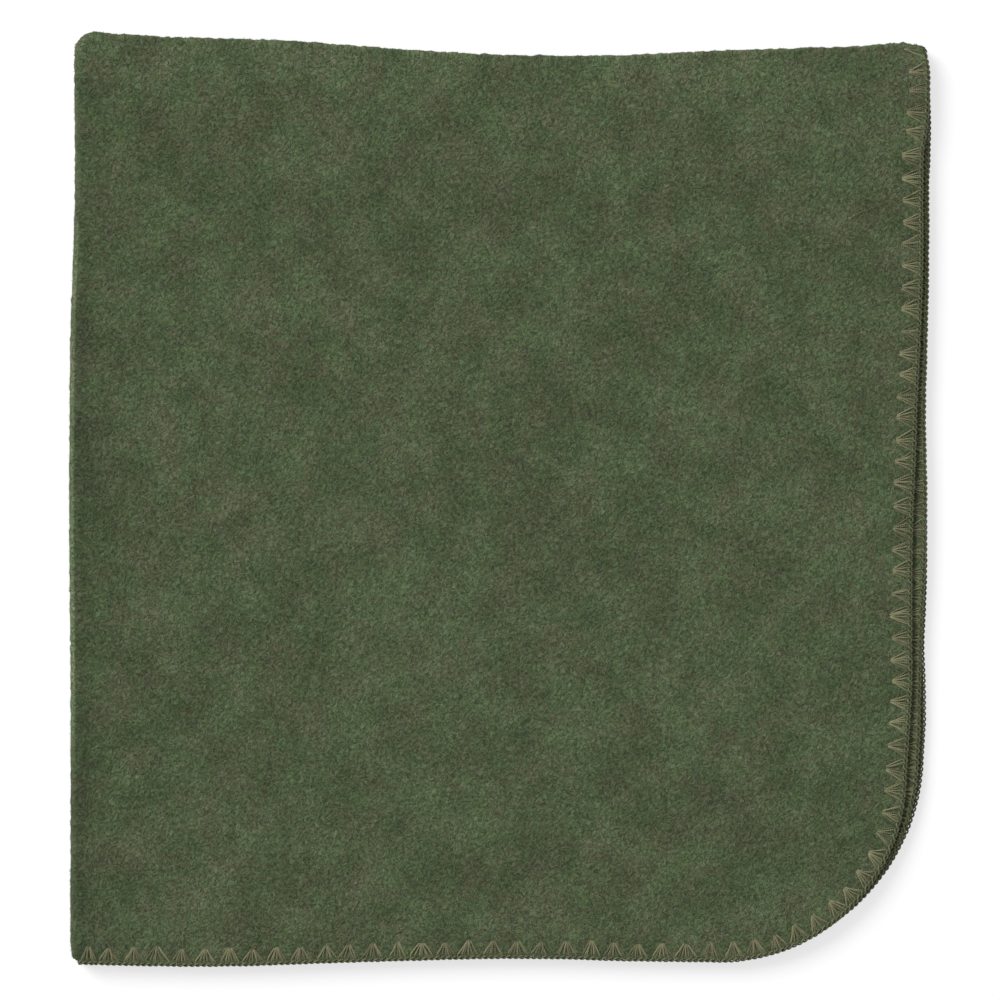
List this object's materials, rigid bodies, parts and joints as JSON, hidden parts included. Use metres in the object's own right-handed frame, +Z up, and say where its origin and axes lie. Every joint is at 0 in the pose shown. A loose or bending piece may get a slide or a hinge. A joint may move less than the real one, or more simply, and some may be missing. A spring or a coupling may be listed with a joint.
{
  "type": "folded camp blanket",
  "caption": "Felted wool camp blanket folded in quarters, with shell-stitched edges, that opens at its side fold.",
  "frame": {"origin": "centre of the folded pack's footprint, on the surface it lies on", "axes": "+X from the side crease to the free side, +Y from the free end to the top creases, +Z up through the layers"},
  "size_m": [0.378, 0.411, 0.0101],
  "materials": {
    "felt": "matte",
    "fan_thread": "matte",
    "chain_thread": "matte"
  },
  "bodies": {
    "lower_leaf": {"quarter_3": "felt", "quarter_4": "felt", "top_fold_lower": "felt", "top_fold_chain_lower": "chain_thread", "shell_stitches_3": "fan_thread", "shell_stitches_4": "fan_thread", "edge_chain_3": "chain_thread", "edge_chain_4": "chain_thread", "side_fold_outer": "felt", "side_fold_inner": "felt", "side_fold_chain_outer": "chain_thread", "side_fold_chain_inner": "chain_thread"},
    "upper_leaf": {"quarter_1": "felt", "quarter_2": "felt", "top_fold_upper": "felt", "top_fold_chain_upper": "chain_thread", "shell_stitches_1": "fan_thread", "shell_stitches_2": "fan_thread", "edge_chain_1": "chain_thread", "edge_chain_2": "chain_thread"}
  },
  "joints": [
    {"name": "side_fold", "type": "hinge", "parent": "lower_leaf", "child": "upper_leaf", "pos_m": [-0.18525, 0, 0.00505], "axis": [0, -1, 0], "range_deg": [0, 180], "deforming": ["side_fold_outer", "side_fold_inner", "side_fold_chain_outer", "side_fold_chain_inner"]}
  ]
}
